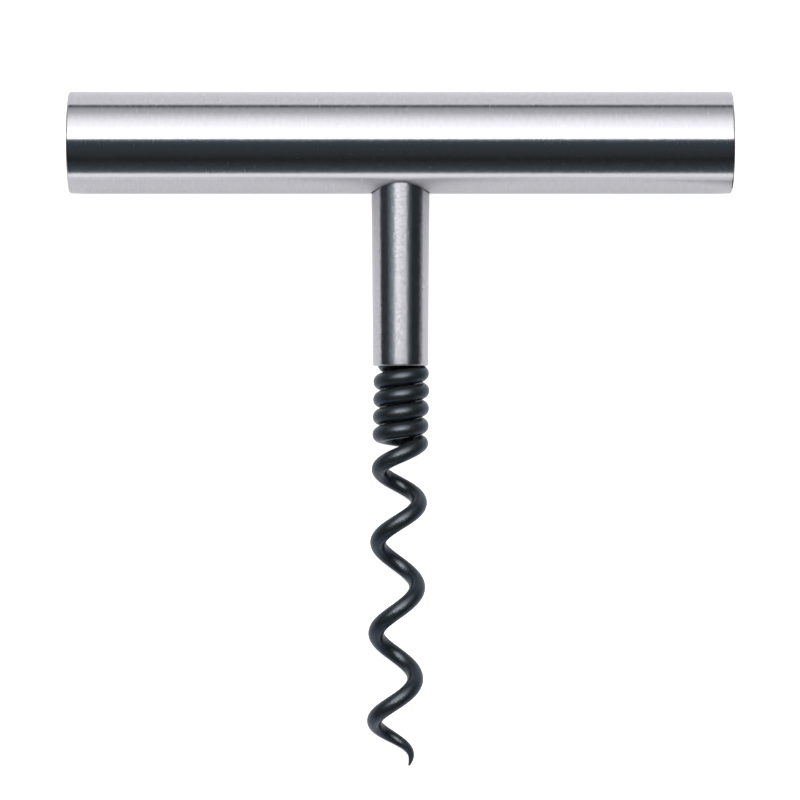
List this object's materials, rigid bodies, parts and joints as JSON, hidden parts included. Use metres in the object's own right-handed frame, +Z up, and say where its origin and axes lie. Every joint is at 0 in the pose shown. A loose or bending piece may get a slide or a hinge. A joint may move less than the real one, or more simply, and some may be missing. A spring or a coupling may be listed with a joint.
{
  "type": "corkscrew",
  "caption": "T-handled corkscrew: a smooth round steel handle, a short steel shank and a black coated wire worm with close turns that open into a pointed spiral.",
  "frame": {"origin": "on the table, under the middle of the outer box of the corkscrew as it lies", "axes": "+X along the handle, +Y from the worm's point towards the handle, +Z up from the table"},
  "size_m": [0.1164, 0.1185, 0.018],
  "materials": {
    "handle_steel": "fine turned satin",
    "disc_steel": "fine satin",
    "shank_steel": "fine turned satin",
    "coated_wire": "black satin coat"
  },
  "bodies": {
    "root": {"handle_tube": "handle_steel", "left_end_disc": "disc_steel", "right_end_disc": "disc_steel", "shank": "shank_steel", "worm": "coated_wire"}
  },
  "joints": []
}
